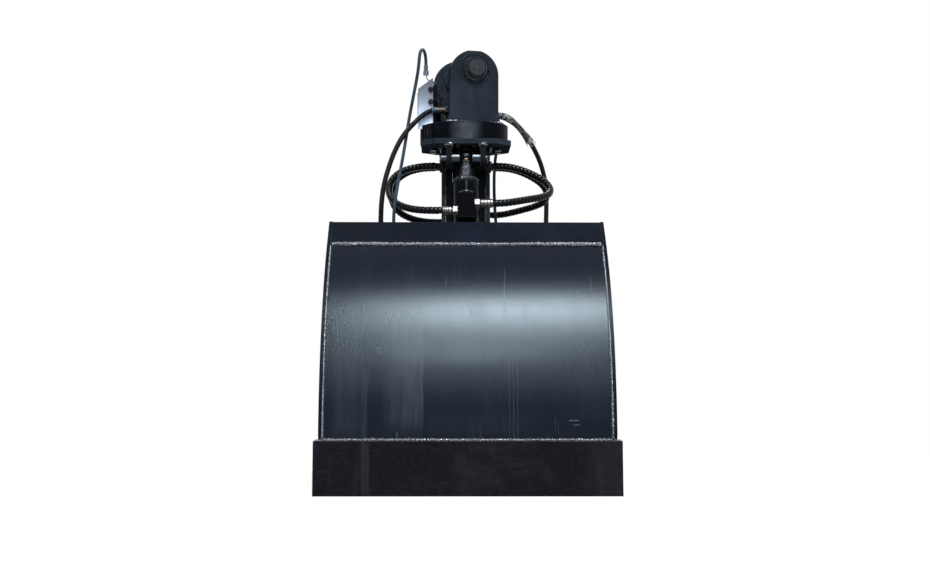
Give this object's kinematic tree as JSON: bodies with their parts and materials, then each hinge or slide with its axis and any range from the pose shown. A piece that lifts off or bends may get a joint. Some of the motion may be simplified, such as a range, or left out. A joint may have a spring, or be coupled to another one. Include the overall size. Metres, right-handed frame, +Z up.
{
  "type": "clamshell bucket",
  "caption": "Hydraulic clamshell bucket: two curved jaws hinged on a central column, worked by two cylinders, under a slewing head with a suspension pin.",
  "frame": {"origin": "on the floor under the slewing axis, midway between the two jaws", "axes": "+Z up along the slewing axis, +X along the jaws' width, -Y towards the front jaw"},
  "size_m": [0.825, 1.1886, 1.312],
  "materials": {
    "black_paint": "satin black enamel",
    "shell_paint": "glossy black enamel, scuffed",
    "knife_paint": "dull black, smeared",
    "guard_paint": "light grey, satin",
    "hose_rubber": "black rubber",
    "zinc_fittings": "zinc plated",
    "chrome_rod": "hard chrome",
    "piston_steel": "machined",
    "pin_steel": "ground steel",
    "bolt_steel": "black oxide"
  },
  "bodies": {
    "frame": {"flange_plate": "black_paint", "flange_bolts": "bolt_steel", "slew_ring": "pin_steel", "swivel_manifold": "black_paint", "swivel_adapters": "zinc_fittings", "column_plates": "black_paint", "column_web": "black_paint", "clevis_plates": "black_paint", "cylinder_pins": "pin_steel", "pin_spacers": "pin_steel", "jaw_pins": "pin_steel", "front_left_hose": "hose_rubber", "front_right_hose": "hose_rubber", "rear_left_hose": "hose_rubber", "rear_right_hose": "hose_rubber", "hose_coupler": "zinc_fittings"},
    "slew_head": {"slew_housing": "black_paint", "front_ear": "black_paint", "rear_ear": "black_paint", "pin_collars": "black_paint", "keeper_bolt": "bolt_steel", "top_manifold": "black_paint", "supply_adapters": "zinc_fittings", "slew_motor": "black_paint", "motor_guard": "guard_paint", "guard_bracket": "black_paint", "guard_bolts": "bolt_steel", "left_supply_hose": "hose_rubber", "right_supply_hose": "hose_rubber", "motor_hose": "hose_rubber", "hose_end_fitting": "zinc_fittings"},
    "suspension_pin": {"suspension_pin": "pin_steel"},
    "front_jaw": {"front_side_plates": "black_paint", "front_shell": "shell_paint", "front_lip_band": "black_paint", "front_knife": "knife_paint", "front_beam": "black_paint", "front_arms": "black_paint", "front_rod_lugs": "black_paint", "front_lug_pin": "pin_steel"},
    "front_barrel": {"front_barrel": "black_paint", "front_gland": "black_paint", "front_port_block": "black_paint", "front_port_fittings": "zinc_fittings"},
    "front_rod": {"front_rod": "chrome_rod", "front_piston": "piston_steel"},
    "rear_jaw": {"rear_side_plates": "black_paint", "rear_shell": "shell_paint", "rear_lip_band": "black_paint", "rear_knife": "knife_paint", "rear_beam": "black_paint", "rear_arms": "black_paint", "rear_rod_lugs": "black_paint", "rear_lug_pin": "pin_steel"},
    "rear_barrel": {"rear_barrel": "black_paint", "rear_gland": "black_paint", "rear_port_block": "black_paint", "rear_port_fittings": "zinc_fittings"},
    "rear_rod": {"rear_rod": "chrome_rod", "rear_piston": "piston_steel"}
  },
  "joints": [
    {"name": "slew", "type": "hinge", "parent": "frame", "child": "slew_head", "pos_m": [0, 0, 1.05], "axis": [0, 0, 1], "continuous": true, "deforming": ["left_supply_hose", "right_supply_hose", "motor_hose"]},
    {"name": "suspension_pin_slide", "type": "slide", "parent": "slew_head", "child": "suspension_pin", "axis": [0.2588, -0.9659, 0], "range_m": [0, 0.3]},
    {"name": "front_jaw_close", "type": "hinge", "parent": "frame", "child": "front_jaw", "pos_m": [0, -0.07, 0.52], "axis": [1, 0, 0], "range_deg": [0, 50.4]},
    {"name": "rear_jaw_close", "type": "hinge", "parent": "frame", "child": "rear_jaw", "pos_m": [0, 0.07, 0.52], "axis": [-1, 0, 0], "range_deg": [0, 50.4]},
    {"name": "front_barrel_swing", "type": "hinge", "parent": "frame", "child": "front_barrel", "pos_m": [0, -0.09, 0.968], "axis": [1, 0, 0], "range_deg": [0, 1.1], "deforming": ["front_left_hose", "front_right_hose"]},
    {"name": "front_rod_slide", "type": "slide", "parent": "front_barrel", "child": "front_rod", "axis": [0, -0.2744, -0.9616], "range_m": [0, 0.126]},
    {"name": "rear_barrel_swing", "type": "hinge", "parent": "frame", "child": "rear_barrel", "pos_m": [0, 0.09, 0.968], "axis": [-1, 0, 0], "range_deg": [0, 1.1], "deforming": ["rear_left_hose", "rear_right_hose"]},
    {"name": "rear_rod_slide", "type": "slide", "parent": "rear_barrel", "child": "rear_rod", "axis": [0, 0.2744, -0.9616], "range_m": [0, 0.126]}
  ],
  "couplings": [
    {"joint": "rear_jaw_close", "follows": "front_jaw_close", "ratio": 1},
    {"joint": "front_barrel_swing", "follows": "front_jaw_close", "ratio": 0.021},
    {"joint": "front_rod_slide", "follows": "front_jaw_close", "m_per_rad": 0.1425},
    {"joint": "rear_barrel_swing", "follows": "front_jaw_close", "ratio": 0.021},
    {"joint": "rear_rod_slide", "follows": "front_jaw_close", "m_per_rad": 0.1425}
  ]
}
